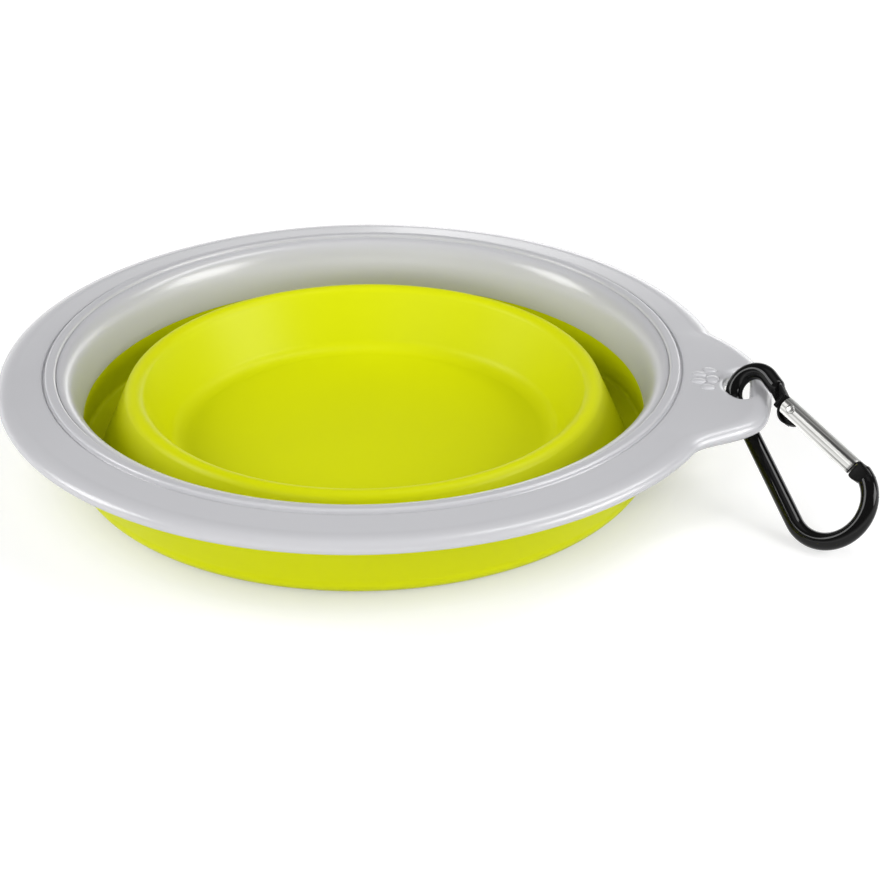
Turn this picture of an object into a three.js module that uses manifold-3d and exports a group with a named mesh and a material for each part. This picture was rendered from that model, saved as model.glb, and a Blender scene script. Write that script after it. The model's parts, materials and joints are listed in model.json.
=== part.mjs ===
// Collapsible pet bowl, folded flat, with a carabiner hooked through its carrying tab.
// Millimetres, +Z up, +X towards the tab. The origin is the centre of the base's underside.
import * as THREE from 'three';
import { mergeVertices } from 'three/addons/utils/BufferGeometryUtils.js';
import Module from 'manifold-3d';

// Rim frame: hard plastic flange with a bead, an inner skirt and the carrying tab
const rimRadius = 64.5;
const rimHeight = 17.5;
const flangeThickness = 2.8;
const flangeFall = 0.5;
const edgeWidth = 3.2;
const edgeDrop = 1.9;
const lowerEdgeRound = 0.8;
const flangeWidth = 8;
const grooveWidth = 0.6;
const grooveDepth = 0.35;
const beadWidth = 2.2;
const beadHeight = 0.55;
const skirtThickness = 1.2;
const skirtFlare = 3.3;
const skirtLean = 4.1;
const skirtHeight = 8.9;
const skirtDraft = 0.2;

// Carrying tab, its half-round hole and the raised paw ornament
const tabReach = 7.9;
const tabFlatAngle = 5;
const tabSpanAngle = 20.5;
const webWidth = 4;
const holeDepth = 5.2;
const holeWidth = 13.2;
const holeCorner = 1.6;
const holeEdgeRound = 1.2;
const pawInset = 2.7;
const pawHeight = 0.3;
const padLength = 2.3;
const padWidth = 2.2;
const toeLength = 2.5;
const toeWidth = 1.25;
const innerToeAcross = 1.4;
const outerToeAcross = 3.25;
const toeLean = 6;

// Soft green body: outer wall moulded over the skirt, folding wall, and bowl with its lip
const wallThickness = 1.2;
const footStep = 2.3;
const footRound = 1.2;
const footClearance = 0.25;
const footWidth = 4.6;
const channelFloor = 1.2;
const channelRound = 0.6;
const foldThickness = 1.4;
const foldLean = 24.6;
const lipRound = 1.95;
const lipHeight = 12.9;
const lipStub = 1;
const lipUnder = 0.9;
const bowlWall = 1.8;
const floorThickness = 2;
const bowlRun = 9.3;
const filletRun = 3.4;
const filletRise = 1.6;

// Carabiner: bent rod with a hook end, a nose, and a tang that carries the gate
const rodDiameter = 3;
const hookClearance = 0.1;
const loopLength = 25.45;
const loopOffset = 2.95;
const loopRadius = 7.1;
const hookTail = 2.2;
const hookTailAngle = 8;
const noseDepth = 2.05;
const noseWidth = 3.3;
const noseLip = 0.1;
const noseArcEnd = 98;
const edgeEase = 0.25;
const tangThickness = 1.6;
const neckWidth = 2.4;
const collarLength = 1.1;
const heelReach = 2.5;
const heelFace = 1.9;
const heelFrom = -108;
const heelTo = -52;

// Gate: a channel of folded sheet on a rivet, closed by a spring and a plunger inside it
const rivetAlong = 7.9;
const rivetOffset = 4.52;
const gateWidth = 2.9;
const gateDepth = 3.2;
const gateSheet = 0.5;
const gateTail = 1.95;
const gateSwing = 30;
const rivetDiameter = 1.1;
const rivetHead = 1.6;
const rivetDome = 0.25;
const plungerDiameter = 1.5;
const plungerHead = 1.4;
const plungerStem = 2.4;
const stemDiameter = 0.4;
const springDiameter = 1.4;
const springWire = 0.25;
const springTurns = 10;
const stopLength = 0.6;
const stopFromEnd = 3;

// Clearances: between bonded or touching pieces, and round the rivet
const seatGap = 0.3;
const rivetGap = 0.08;
const groundGap = 0.15;
const cutPast = 1;

// How the carabiner lies: hook over the web, far end on the ground
const carabinerHeading = -60.4;
const carabinerRoll = 46.3;
const hookInset = 1.25;
const hookSideways = -2.07;
const hookSink = 0.22;

// Facets
const roundSteps = 72;
const rimSteps = 104;
const rimCrowding = 0.62;
const rodSides = 10;
const rodSteps = 64;
const pinSides = 12;
const springSides = 5;
const stepsPerTurn = 8;

const rad = THREE.MathUtils.degToRad;
const rodRadius = rodDiameter / 2;
const hookRadius = webWidth / 2 + rodRadius + hookClearance;
const tabTip = rimRadius + tabReach;
const holeFlat = tabTip - webWidth;
const flangeTop = rimHeight - flangeFall;
const flangeUnder = flangeTop - flangeThickness;
const flangeFlatRadius = rimRadius - edgeWidth;
const grooveRadius = rimRadius - flangeWidth;
const beadInnerRadius = grooveRadius - beadWidth;
const pawRadius = rimRadius - pawInset;

// Each ring of the folded wall follows from the one outside it
const skirtBottomRadius = beadInnerRadius - skirtLean;
const skirtBottomHeight = rimHeight - skirtHeight;
const footRadius = skirtBottomRadius + footStep;
const creaseRadius = footRadius - footWidth;

const wasm = await Module();
wasm.setup();

// A closed geometry as a solid for joins and cuts
function solid(geometry) {
  const bare = geometry.clone();
  bare.deleteAttribute('normal');
  bare.deleteAttribute('uv');
  const merged = mergeVertices(bare, 1e-4);
  const vertProperties = new Float32Array(merged.attributes.position.array);
  const triVerts = new Uint32Array(merged.index.array);
  return new wasm.Manifold(new wasm.Mesh({ numProp: 3, vertProperties, triVerts }));
}

function geometryOf(body) {
  const mesh = body.getMesh();
  const geometry = new THREE.BufferGeometry();
  geometry.setAttribute('position', new THREE.BufferAttribute(mesh.vertProperties, 3));
  geometry.setIndex(new THREE.BufferAttribute(mesh.triVerts, 1));
  return geometry;
}

function part(name, geometry, material) {
  const bare = geometry.clone();
  bare.deleteAttribute('uv');
  bare.deleteAttribute('normal');
  const merged = mergeVertices(bare, 1e-4);
  merged.computeVertexNormals();
  const mesh = new THREE.Mesh(merged, material);
  mesh.name = name;
  return mesh;
}

const at = (r, z) => new THREE.Vector2(r, z);

// Points on an arc in a profile, angles in degrees
function arc(centre, radiusR, radiusZ, from, to, steps) {
  const points = [];
  for (let i = 0; i <= steps; i += 1) {
    const angle = rad(from + ((to - from) * i) / steps);
    points.push(at(centre.x + radiusR * Math.cos(angle), centre.y + radiusZ * Math.sin(angle)));
  }
  return points;
}

// A profile of radius and height, turned about the vertical axis; a ring profile is closed on itself
function turned(profile, steps, closed) {
  const points = closed ? [...profile, profile[0].clone()] : profile;
  return new THREE.LatheGeometry(points, steps).rotateX(Math.PI / 2);
}

// A solid through equal outlines, one above the other, closed by flat ends
function stacked(rings) {
  const count = rings[0].length;
  const positions = rings.flat().flatMap((p) => [p.x, p.y, p.z]);
  const index = [];
  for (let k = 0; k + 1 < rings.length; k += 1) {
    for (let i = 0; i < count; i += 1) {
      const a = k * count + i;
      const b = k * count + ((i + 1) % count);
      index.push(a, b, b + count, a, b + count, a + count);
    }
  }
  const last = (rings.length - 1) * count;
  const flat = rings[0].map((p) => new THREE.Vector2(p.x, p.y));
  for (const [a, b, c] of THREE.ShapeUtils.triangulateShape(flat, [])) {
    index.push(c, b, a, last + a, last + b, last + c);
  }
  const geometry = new THREE.BufferGeometry();
  geometry.setAttribute('position', new THREE.Float32BufferAttribute(positions, 3));
  geometry.setIndex(index);
  return geometry;
}

// How far the tab stands out of the round rim at an angle from +X
function tabBulge(angle) {
  const away = Math.abs(THREE.MathUtils.radToDeg(angle));
  return tabReach * (1 - THREE.MathUtils.smoothstep(away, tabFlatAngle, tabSpanAngle));
}

// Height of the tab's top at a distance from the axis
function tabTopAt(radius) {
  const inner = grooveRadius + grooveWidth / 2;
  const outer = flangeFlatRadius + tabReach;
  return rimHeight - (flangeFall * (radius - inner)) / (outer - inner);
}

// Inner face of the skirt: steep above the soft wall, rolling over towards the bead
function skirtFace(steps) {
  const top = at(beadInnerRadius, rimHeight);
  const bottom = at(skirtBottomRadius, skirtBottomHeight);
  const bend = at(skirtBottomRadius + skirtDraft, rimHeight - skirtDraft);
  return new THREE.QuadraticBezierCurve(bottom, bend, top).getPoints(steps);
}

function rimProfile() {
  const skirt = skirtFace(7);
  const beadMiddle = at(grooveRadius - grooveWidth / 2 - beadWidth / 2, rimHeight);
  const bead = arc(beadMiddle, (beadWidth - grooveWidth) / 2, beadHeight, 150, 20, 3);
  const groove = [at(grooveRadius, rimHeight - grooveDepth), at(grooveRadius + grooveWidth / 2, rimHeight)];
  const edge = arc(at(flangeFlatRadius, flangeTop - edgeDrop), edgeWidth, edgeDrop, 90, 0, 4);
  const underCentre = at(rimRadius - lowerEdgeRound, flangeUnder + lowerEdgeRound);
  const under = arc(underCentre, lowerEdgeRound, lowerEdgeRound, 0, -90, 2);
  const skirtOuter = [at(skirtBottomRadius + skirtFlare, flangeUnder)];
  skirtOuter.push(at(skirtBottomRadius + skirtThickness, skirtBottomHeight));
  return [...skirt, ...bead, ...groove, ...edge, ...under, ...skirtOuter].reverse();
}

// The turned rim, with its facets crowded towards the tab and its edge drawn out to make the tab
function rimBlank() {
  const geometry = turned(rimProfile(), rimSteps, true);
  const position = geometry.attributes.position;
  for (let i = 0; i < position.count; i += 1) {
    const turn = Math.atan2(position.getY(i), position.getX(i));
    const angle = turn - rimCrowding * Math.sin(turn);
    const radius = Math.hypot(position.getX(i), position.getY(i));
    const onEdge = radius > flangeFlatRadius - seatGap;
    const drawn = radius + (onEdge ? tabBulge(angle) : 0);
    position.setXY(i, drawn * Math.cos(angle), drawn * Math.sin(angle));
  }
  return geometry;
}

// Outline of the half-oval hole: flat side along the web, round side towards the bowl
function holeOutline() {
  const half = holeWidth / 2;
  const across = half * Math.sqrt(1 - (holeCorner / holeDepth) ** 2);
  const lean = 90 + THREE.MathUtils.radToDeg(Math.asin(holeCorner / holeDepth));
  const upper = new THREE.QuadraticBezierCurve(
    at(holeFlat, across - holeCorner),
    at(holeFlat, across),
    at(holeFlat - holeCorner, across),
  ).getPoints(4);
  const round = arc(at(holeFlat, 0), holeDepth, half, lean, 360 - lean, 12);
  const lower = upper.map((p) => at(p.x, -p.y)).reverse();
  return [...upper, ...round.slice(1, -1), ...lower];
}

// The same outline moved out along its own normals, at a height above the underside or below the top
function grownOutline(outline, grow, above, below) {
  const count = outline.length;
  return outline.map((p, i) => {
    const before = outline[(i + count - 1) % count];
    const after = outline[(i + 1) % count];
    const along = after.clone().sub(before).normalize();
    const height = above === null ? tabTopAt(p.x) - below : flangeUnder + above;
    return new THREE.Vector3(p.x + grow * along.y, p.y - grow * along.x, height);
  });
}

// Cutter for the hole, flared at both faces so that the web comes out as a rounded bar
function holeCutter() {
  const outline = holeOutline();
  const shallow = holeEdgeRound * (1 - Math.cos(rad(45)));
  const flare = [
    [-cutPast, holeEdgeRound],
    [0, holeEdgeRound],
    [shallow, shallow],
    [holeEdgeRound, 0],
  ];
  const lower = flare.map(([depth, grow]) => grownOutline(outline, grow, depth, null));
  const upper = flare.map(([depth, grow]) => grownOutline(outline, grow, null, depth)).reverse();
  return stacked([...lower, ...upper]);
}

// One low oval of the paw, half sunk into the tab
function pawOval(along, across, length, width, turn) {
  const oval = new THREE.SphereGeometry(0.5, 10, 6);
  oval.rotateX(Math.PI / 2);
  oval.scale(length, width, 2 * pawHeight);
  oval.rotateZ(turn);
  return oval.translate(along, across, tabTopAt(along));
}

function pawOvals() {
  const inner = pawRadius - padLength;
  const outer = pawRadius - padLength / 4;
  const ovals = [pawOval(pawRadius, 0, padLength, padWidth, 0)];
  for (const side of [-1, 1]) {
    ovals.push(pawOval(inner, side * innerToeAcross, toeLength, toeWidth, side * rad(-toeLean)));
    ovals.push(pawOval(outer, side * outerToeAcross, toeLength, toeWidth, side * rad(-toeLean)));
  }
  return ovals;
}

function rimFrame() {
  let body = solid(rimBlank());
  for (const oval of pawOvals()) {
    body = body.add(solid(oval));
  }
  return geometryOf(body.subtract(solid(holeCutter())));
}

// Soft wall outside the skirt, flush with the skirt's inner face below it, rounded at the ground
function outerWall() {
  const top = flangeUnder - seatGap;
  const step = skirtBottomHeight - seatGap;
  const backTop = skirtBottomRadius + skirtFlare + seatGap;
  const backStep = skirtBottomRadius + skirtThickness + seatGap;
  const footCentre = at(footRadius - footRound, footClearance + footRound);
  const innerFoot = footRadius - foldThickness;
  const corner = new THREE.QuadraticBezierCurve(
    at(innerFoot - channelRound, channelFloor),
    at(innerFoot, channelFloor),
    at(innerFoot, channelFloor + channelRound),
  );
  const profile = [
    at(backTop, top),
    at(backTop + wallThickness, top),
    ...arc(footCentre, footRound, footRound, 0, -90, 3),
    at(creaseRadius, footClearance),
    at(creaseRadius, channelFloor),
    ...corner.getPoints(2),
    at(skirtBottomRadius, step),
    at(backStep, step),
  ];
  return turned(profile.reverse(), roundSteps, true);
}

// The fold's outer face leans in from the crease, and the lip's round just touches it
const foldOut = at(Math.cos(rad(foldLean)), Math.sin(rad(foldLean)));
const foldDown = at(foldOut.y, -foldOut.x);
const foldFoot = at(creaseRadius - seatGap, channelFloor);
const lipLevel = lipHeight - lipRound;
const lipRadius = foldFoot.x - (lipRound + (lipLevel - foldFoot.y) * foldOut.y) / foldOut.x;
const lipCentre = at(lipRadius, lipLevel);
const floorRadius = lipRadius - bowlRun;

// A point on the fold's outer face at a way below the lip, or on its inner face behind it
function foldFace(down, depth) {
  const point = lipCentre.clone().addScaledVector(foldOut, lipRound - depth);
  return point.addScaledVector(foldDown, down);
}

// Cone between the lip and the crease: it turns inside out when the bowl is pulled open
function foldingWall() {
  const profile = [
    foldFace(lipStub + seatGap, 0),
    foldFoot,
    foldFoot.clone().addScaledVector(foldOut, -foldThickness),
    foldFace(lipStub + seatGap, foldThickness),
  ];
  return turned(profile.reverse(), roundSteps, true);
}

// Bowl floor, its sloped wall, the rounded lip and the start of the fold under it
function innerBowl() {
  const wallFoot = at(floorRadius + filletRun, floorThickness + filletRise);
  const toLip = lipCentre.clone().sub(wallFoot);
  const lean = toLip.angle() + Math.asin(lipRound / toLip.length());
  const up = at(Math.cos(lean), Math.sin(lean));
  const back = at(up.y, -up.x).multiplyScalar(bowlWall);
  const baseEdge = wallFoot.clone().add(back);
  const rise = (lipLevel - lipUnder - baseEdge.y) / up.y;
  const fillet = new THREE.QuadraticBezierCurve(
    wallFoot,
    at(floorRadius + filletRun * 0.67, floorThickness),
    at(floorRadius, floorThickness),
  );
  const underFillet = new THREE.QuadraticBezierCurve(
    at(floorRadius + bowlWall, 0),
    at(floorRadius + filletRun * 0.67 + bowlWall, 0),
    baseEdge,
  );
  const lip = arc(lipCentre, lipRound, lipRound, foldLean, 90 + THREE.MathUtils.radToDeg(lean), 7);
  const profile = [
    at(0, 0),
    ...underFillet.getPoints(3),
    baseEdge.clone().addScaledVector(up, rise),
    foldFace(lipStub, foldThickness),
    foldFace(lipStub, 0),
    ...lip,
    ...fillet.getPoints(4),
    at(0, floorThickness),
  ];
  return turned(profile, roundSteps, false);
}

// The carabiner's plane: X runs from the hook to the far end, Y towards the gate, origin at the hook
const loopCentre = at(loopLength, loopOffset);
const rivetPlace = at(rivetAlong, rivetOffset);
const gateAim = at(loopLength, loopOffset + loopRadius).sub(rivetPlace);
const gateAngle = Math.atan2(gateAim.y, gateAim.x);
const noseFace = gateAim.length() - noseDepth;
const gateEnd = noseFace - seatGap;

// Centre line of the rod: hook tail, hook, straight leg and the wide end up to the nose
function rodLine() {
  const spread = Math.acos((hookRadius - loopRadius) / loopCentre.length());
  const tangent = Math.atan2(loopCentre.y, loopCentre.x) - spread;
  const hookStart = rad(90 + hookTailAngle);
  const tailEnd = hookEnd();
  const route = new THREE.Path();
  route.moveTo(tailEnd.x, tailEnd.y);
  route.lineTo(hookRadius * Math.cos(hookStart), hookRadius * Math.sin(hookStart));
  route.absarc(0, 0, hookRadius, hookStart, tangent + 2 * Math.PI, false);
  route.absarc(loopCentre.x, loopCentre.y, loopRadius, tangent, rad(noseArcEnd), false);
  const points = route.getSpacedPoints(rodSteps).map((p) => new THREE.Vector3(p.x, p.y, 0));
  return new THREE.CatmullRomCurve3(points);
}

// Where the hook's tail ends, before it is flattened into the tang
function hookEnd() {
  const start = rad(90 + hookTailAngle);
  const end = at(hookRadius * Math.cos(start), hookRadius * Math.sin(start));
  return end.add(at(Math.sin(start), -Math.cos(start)).multiplyScalar(hookTail));
}

function regular(radius, sides) {
  const points = [];
  for (let i = 0; i < sides; i += 1) {
    const angle = (2 * Math.PI * i) / sides;
    points.push(at(radius * Math.cos(angle), radius * Math.sin(angle)));
  }
  return new THREE.Shape(points);
}

// A flat outline in the plane of the gate, thickened evenly to both sides, with eased edges
function plate(points, thickness, ease) {
  const shape = new THREE.Shape(points);
  const geometry = new THREE.ExtrudeGeometry(shape, {
    depth: thickness - 2 * ease,
    bevelEnabled: ease > 0,
    bevelThickness: ease,
    bevelSize: ease,
    bevelOffset: -ease,
    bevelSegments: 1,
    curveSegments: 6,
  });
  return geometry.translate(0, 0, -thickness / 2 + ease);
}

// From the gate's own place (along the gate, across it) to the carabiner's plane
function ontoGate(geometry) {
  return geometry.rotateZ(gateAngle).translate(rivetPlace.x, rivetPlace.y, 0);
}

// Tang inside the channel: its heel bulges inwards and its end face works the plunger
function tangPoints() {
  const back = gateWidth / 2 - gateSheet - seatGap;
  const relief = (back - heelFace * Math.sin(rad(gateSwing))) / Math.cos(rad(gateSwing));
  const collar = -gateTail - seatGap;
  const heel = arc(at(0, 0), heelReach, heelReach, heelTo, heelFrom, 4);
  return [
    at(collar - collarLength / 2, back),
    at(0, back),
    at(heelFace, relief),
    at(heelFace, heelReach * Math.sin(rad(heelTo)) + seatGap),
    ...heel,
    at(collar - collarLength / 2, -neckWidth / 2),
  ];
}

// Bore for the rivet, through the tang or through both cheeks
function rivetBore() {
  const radius = rivetDiameter / 2 + rivetGap;
  const length = gateDepth + 2 * cutPast;
  return new THREE.CylinderGeometry(radius, radius, length, pinSides).rotateX(Math.PI / 2);
}

function carabinerBody() {
  const rod = new THREE.ExtrudeGeometry(regular(rodRadius, rodSides), {
    steps: rodSteps,
    bevelEnabled: false,
    extrudePath: rodLine(),
  });
  const end = hookEnd();
  const knuckle = new THREE.SphereGeometry(rodRadius, rodSides, 8).translate(end.x, end.y, 0);
  const local = end.clone().sub(rivetPlace).rotateAround(at(0, 0), -gateAngle);
  const collarEnd = -gateTail - seatGap;
  const collarStart = collarEnd - collarLength;
  const half = neckWidth / 2;
  const neck = [
    at(local.x, local.y - half),
    at(collarStart + collarLength / 2, -half),
    at(collarStart + collarLength / 2, half),
    at(local.x, local.y + half),
  ];
  const collar = [
    at(collarStart, -gateWidth / 2),
    at(collarEnd, -gateWidth / 2),
    at(collarEnd, gateWidth / 2),
    at(collarStart, gateWidth / 2 - seatGap),
  ];
  const noseOuter = noseWidth / 2 - noseLip;
  const noseInner = -noseWidth / 2 - noseLip;
  const nose = [
    at(noseFace, noseInner + noseLip),
    at(noseFace + noseDepth / 2, noseInner),
    at(noseFace + noseDepth, noseInner + rodRadius / 3),
    at(noseFace + noseDepth * 1.15, noseOuter),
    at(noseFace, noseOuter),
  ];
  let body = solid(rod).add(solid(knuckle));
  body = body.add(solid(ontoGate(plate(tangPoints().reverse(), tangThickness, edgeEase))));
  body = body.add(solid(ontoGate(plate(neck, rodDiameter * 0.8, edgeEase))));
  body = body.add(solid(ontoGate(plate(collar, gateDepth, edgeEase))));
  body = body.add(solid(ontoGate(plate(nose, gateDepth, edgeEase))));
  return geometryOf(body.subtract(solid(ontoGate(rivetBore()))));
}

// Section of the folded sheet: a rounded back, two cheeks, open towards the inside of the loop
function channelShape() {
  const width = gateWidth / 2;
  const depth = gateDepth / 2;
  const bend = gateDepth * 0.4;
  const inside = bend - gateSheet;
  const shape = new THREE.Shape();
  shape.moveTo(-width, -depth);
  shape.lineTo(width - bend, -depth);
  shape.absarc(width - bend, -depth + bend, bend, -Math.PI / 2, 0, false);
  shape.absarc(width - bend, depth - bend, bend, 0, Math.PI / 2, false);
  shape.lineTo(-width, depth);
  shape.lineTo(-width, depth - gateSheet);
  shape.lineTo(width - bend, depth - gateSheet);
  shape.absarc(width - bend, depth - bend, inside, Math.PI / 2, 0, true);
  shape.absarc(width - bend, -depth + bend, inside, 0, -Math.PI / 2, true);
  shape.lineTo(-width, -depth + gateSheet);
  return shape;
}

function carabinerGate() {
  const length = gateTail + gateEnd;
  const alongGate = new THREE.Matrix4().makeBasis(
    new THREE.Vector3(0, 1, 0),
    new THREE.Vector3(0, 0, 1),
    new THREE.Vector3(1, 0, 0),
  );
  const channel = new THREE.ExtrudeGeometry(channelShape(), {
    depth: length,
    bevelEnabled: false,
    curveSegments: 3,
  });
  channel.applyMatrix4(alongGate).translate(-gateTail, 0, 0);
  const side = gateWidth / 2;
  const tailTurn = THREE.MathUtils.radToDeg(Math.asin(side / gateTail));
  const tail = arc(at(0, 0), gateTail, gateTail, 180, 180 + tailTurn, 4);
  const outline = [
    at(gateEnd + cutPast, side + cutPast),
    at(-gateTail, side + cutPast),
    ...tail,
    at(tail[tail.length - 1].x, -side - cutPast),
    at(gateEnd + cutPast, -side - cutPast),
  ];
  const cheeks = plate(outline, gateDepth + 2 * cutPast, 0);
  const stopWidth = gateDepth - gateSheet;
  const stop = new THREE.BoxGeometry(stopLength, gateWidth - 2 * gateSheet, stopWidth);
  stop.translate(stopPlace + stopLength / 2, gateSheet / 2, 0);
  const body = solid(channel).add(solid(stop)).intersect(solid(cheeks)).subtract(solid(rivetBore()));
  return geometryOf(body);
}

// Rivet through both cheeks and the tang, with a low dome at each end
function gateRivet() {
  const pin = rivetDiameter / 2;
  const head = rivetHead / 2;
  const seat = gateDepth / 2 + rivetGap;
  const profile = [
    at(0, -seat - rivetDome),
    at(head * 0.6, -seat - rivetDome * 0.75),
    at(head, -seat),
    at(pin, -seat),
    at(pin, seat),
    at(head, seat),
    at(head * 0.6, seat + rivetDome * 0.75),
    at(0, seat + rivetDome),
  ];
  return turned(profile, pinSides, false);
}

// The spring and the plunger lie along the gate, a little off its middle towards the open side
const plungerTip = heelFace + seatGap;
const springStart = plungerTip + plungerHead + seatGap;
const stopPlace = gateEnd - stopFromEnd;
const springEnd = stopPlace - seatGap;
const springLevel = gateWidth / 2 - gateSheet - seatGap - plungerDiameter / 2;

function gatePlunger() {
  const head = plungerDiameter / 2;
  const stem = stemDiameter / 2;
  const profile = [
    at(0, 0),
    at(head * 0.6, 0),
    at(head, head * 0.4),
    at(head, plungerHead),
    at(stem, plungerHead),
    at(stem, plungerHead + plungerStem),
    at(0, plungerHead + plungerStem),
  ];
  return turned(profile, pinSides, false).rotateY(Math.PI / 2).translate(plungerTip, springLevel, 0);
}

// A helical spring as one unbroken tube, and its least gap to itself
class SpringLine extends THREE.Curve {
  getPoint(t) {
    const length = springEnd - springStart - springWire;
    const angle = 2 * Math.PI * springTurns * t;
    const radius = (springDiameter - springWire) / 2;
    const along = springStart + springWire / 2 + length * t;
    return new THREE.Vector3(along, springLevel + radius * Math.cos(angle), radius * Math.sin(angle));
  }
}

function gateSpring() {
  const line = new SpringLine();
  const points = line.getPoints(springTurns * stepsPerTurn);
  let least = Infinity;
  points.forEach((p, i) => {
    points.slice(i + stepsPerTurn / 2).forEach((q) => {
      least = Math.min(least, p.distanceTo(q) - springWire);
    });
  });
  console.log(`gate spring: least gap to itself ${least.toFixed(2)} mm`);
  return new THREE.ExtrudeGeometry(regular(springWire / 2, springSides), {
    steps: springTurns * stepsPerTurn,
    bevelEnabled: false,
    extrudePath: line,
  });
}

// Dip of the carabiner at which its far end just rests on the ground
function restingDip(roll) {
  const apexHeight = tabTopAt(holeFlat) + rodRadius - hookSink;
  const lowest = (dip) => {
    const slope = Math.cos(dip) * Math.sin(roll);
    const centre = apexHeight - hookRadius * Math.sin(dip);
    const loop = -loopCentre.x * Math.sin(dip) + loopCentre.y * slope;
    return centre + loop - loopRadius * Math.hypot(Math.sin(dip), slope) - rodRadius;
  };
  let shallow = 0;
  let steep = Math.PI / 2;
  for (let i = 0; i < 40; i += 1) {
    const dip = (shallow + steep) / 2;
    if (lowest(dip) > groundGap) {
      shallow = dip;
    } else {
      steep = dip;
    }
  }
  return { dip: shallow, height: apexHeight - hookRadius * Math.sin(shallow) };
}

const plastic = (color, roughness) => new THREE.MeshStandardMaterial({ color, roughness, metalness: 0 });
const metal = (color, roughness) => new THREE.MeshStandardMaterial({ color, roughness, metalness: 1 });

const bowl = new THREE.Group();
bowl.add(part('rim_frame', rimFrame(), plastic(0xc4c4c8, 0.45)));
bowl.add(part('outer_wall', outerWall(), plastic(0xc9d51e, 0.5)));
bowl.add(part('folding_wall', foldingWall(), plastic(0xb9c400, 0.5)));
bowl.add(part('inner_bowl', innerBowl(), plastic(0xd3df0a, 0.5)));

const gate = new THREE.Group();
gate.position.set(rivetPlace.x, rivetPlace.y, 0);
gate.rotation.z = gateAngle;
gate.add(part('carabiner_gate', carabinerGate(), metal(0xd8d8d4, 0.25)));
gate.add(part('gate_rivet', gateRivet(), metal(0xcfcfca, 0.3)));
gate.add(part('gate_plunger', gatePlunger(), metal(0xb0b0ae, 0.35)));
gate.add(part('gate_spring', gateSpring(), metal(0xa8a8a6, 0.35)));

const rest = restingDip(rad(carabinerRoll));
const carabiner = new THREE.Group();
carabiner.position.set(tabTip - webWidth / 2 - hookInset, hookSideways, rest.height);
carabiner.rotation.set(rad(carabinerRoll), rest.dip, rad(carabinerHeading), 'ZYX');
carabiner.add(part('carabiner_body', carabinerBody(), metal(0x0b0b0b, 0.2)));
carabiner.add(gate);
bowl.add(carabiner);

export default bowl;
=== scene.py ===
# Collapsible pet bowl, folded flat, with a carabiner hooked through its tab.
# Sizes are millimetres in the part's own frame: +Z up, +X towards the tab.
import json

import bmesh
import bpy
import numpy as np
from mathutils import Matrix, Vector


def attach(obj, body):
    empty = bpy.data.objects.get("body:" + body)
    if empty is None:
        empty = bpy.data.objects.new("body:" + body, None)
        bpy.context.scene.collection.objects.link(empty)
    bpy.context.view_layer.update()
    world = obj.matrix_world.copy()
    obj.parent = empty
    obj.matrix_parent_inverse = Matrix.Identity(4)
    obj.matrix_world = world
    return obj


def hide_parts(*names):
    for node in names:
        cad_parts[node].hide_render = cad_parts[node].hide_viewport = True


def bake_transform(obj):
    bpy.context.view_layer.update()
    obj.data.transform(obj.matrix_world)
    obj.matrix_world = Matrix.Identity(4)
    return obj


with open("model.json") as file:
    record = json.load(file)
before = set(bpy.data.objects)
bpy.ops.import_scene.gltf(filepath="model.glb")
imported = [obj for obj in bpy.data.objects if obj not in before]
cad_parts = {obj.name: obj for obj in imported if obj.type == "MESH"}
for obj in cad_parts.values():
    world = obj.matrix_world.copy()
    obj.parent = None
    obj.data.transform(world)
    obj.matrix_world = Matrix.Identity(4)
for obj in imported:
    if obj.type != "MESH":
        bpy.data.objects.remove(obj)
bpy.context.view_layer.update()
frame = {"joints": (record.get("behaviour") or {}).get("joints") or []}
mm = 0.001
samePoint = 1e-4  # points of a line closer than this, in millimetres, are one
weldReach = 1e-7  # points of a mesh closer than this, in metres, are merged


# ellipse arc: centre + radii * (cos a, sin a), angles in degrees
def arcPoints(centre, radii, start, end, count):
    angle = np.radians(np.linspace(start, end, count))
    return np.array(centre) + np.array(radii) * np.stack([np.cos(angle), np.sin(angle)], axis=1)


# bend that leaves a towards b and arrives at c: (1-t)^2 a + 2t(1-t) b + t^2 c
def bendPoints(a, b, c, count):
    t = np.linspace(0, 1, count)[:, None]
    return (1 - t) ** 2 * np.array(a) + 2 * t * (1 - t) * np.array(b) + t**2 * np.array(c)


# straight run from a to b in even steps
def runPoints(a, b, count):
    return np.linspace(a, b, count)


# several runs as one line, with repeated points dropped
def joinRuns(*runs):
    points = np.concatenate(runs)
    moved = np.linalg.norm(np.diff(points, axis=0), axis=1) > samePoint
    return points[np.append(True, moved)]


# profile of (radius, height) carried round an axis: (r cos a, r sin a, h) on an angle by point grid
def turnProfile(profile, angles):
    x = np.cos(angles)[:, None] * profile[:, 0]
    y = np.sin(angles)[:, None] * profile[:, 0]
    return np.stack([x, y, np.broadcast_to(profile[:, 1], x.shape)], axis=2)


# local (x, y, z) to the part's frame: origin + x u + y v + z w
def place(grid, basis):
    origin, u, v, w = basis
    return origin + grid[..., :1] * u + grid[..., 1:2] * v + grid[..., 2:] * w


def evenAngles(count):
    return np.linspace(0, 2 * np.pi, count, endpoint=False)


# one surface: a grid of points, whether its rows and columns close on themselves,
# and whether its end rows are capped
def surface(grid, closedRows=True, closedColumns=True, capped=False):
    return {"grid": grid, "closedRows": closedRows, "closedColumns": closedColumns, "capped": capped}


def surfaceFaces(part, start):
    rows, columns = part["grid"].shape[:2]
    index = start + np.arange(rows * columns).reshape(rows, columns)
    ends = [index[0][::-1].tolist(), index[-1].tolist()] if part["capped"] else []
    if part["closedRows"]:
        index = np.concatenate([index, index[:1]])
    if part["closedColumns"]:
        index = np.concatenate([index, index[:, :1]], axis=1)
    quads = np.stack([index[:-1, :-1], index[1:, :-1], index[1:, 1:], index[:-1, 1:]], axis=2)
    return quads.reshape(-1, 4).tolist() + ends


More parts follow.
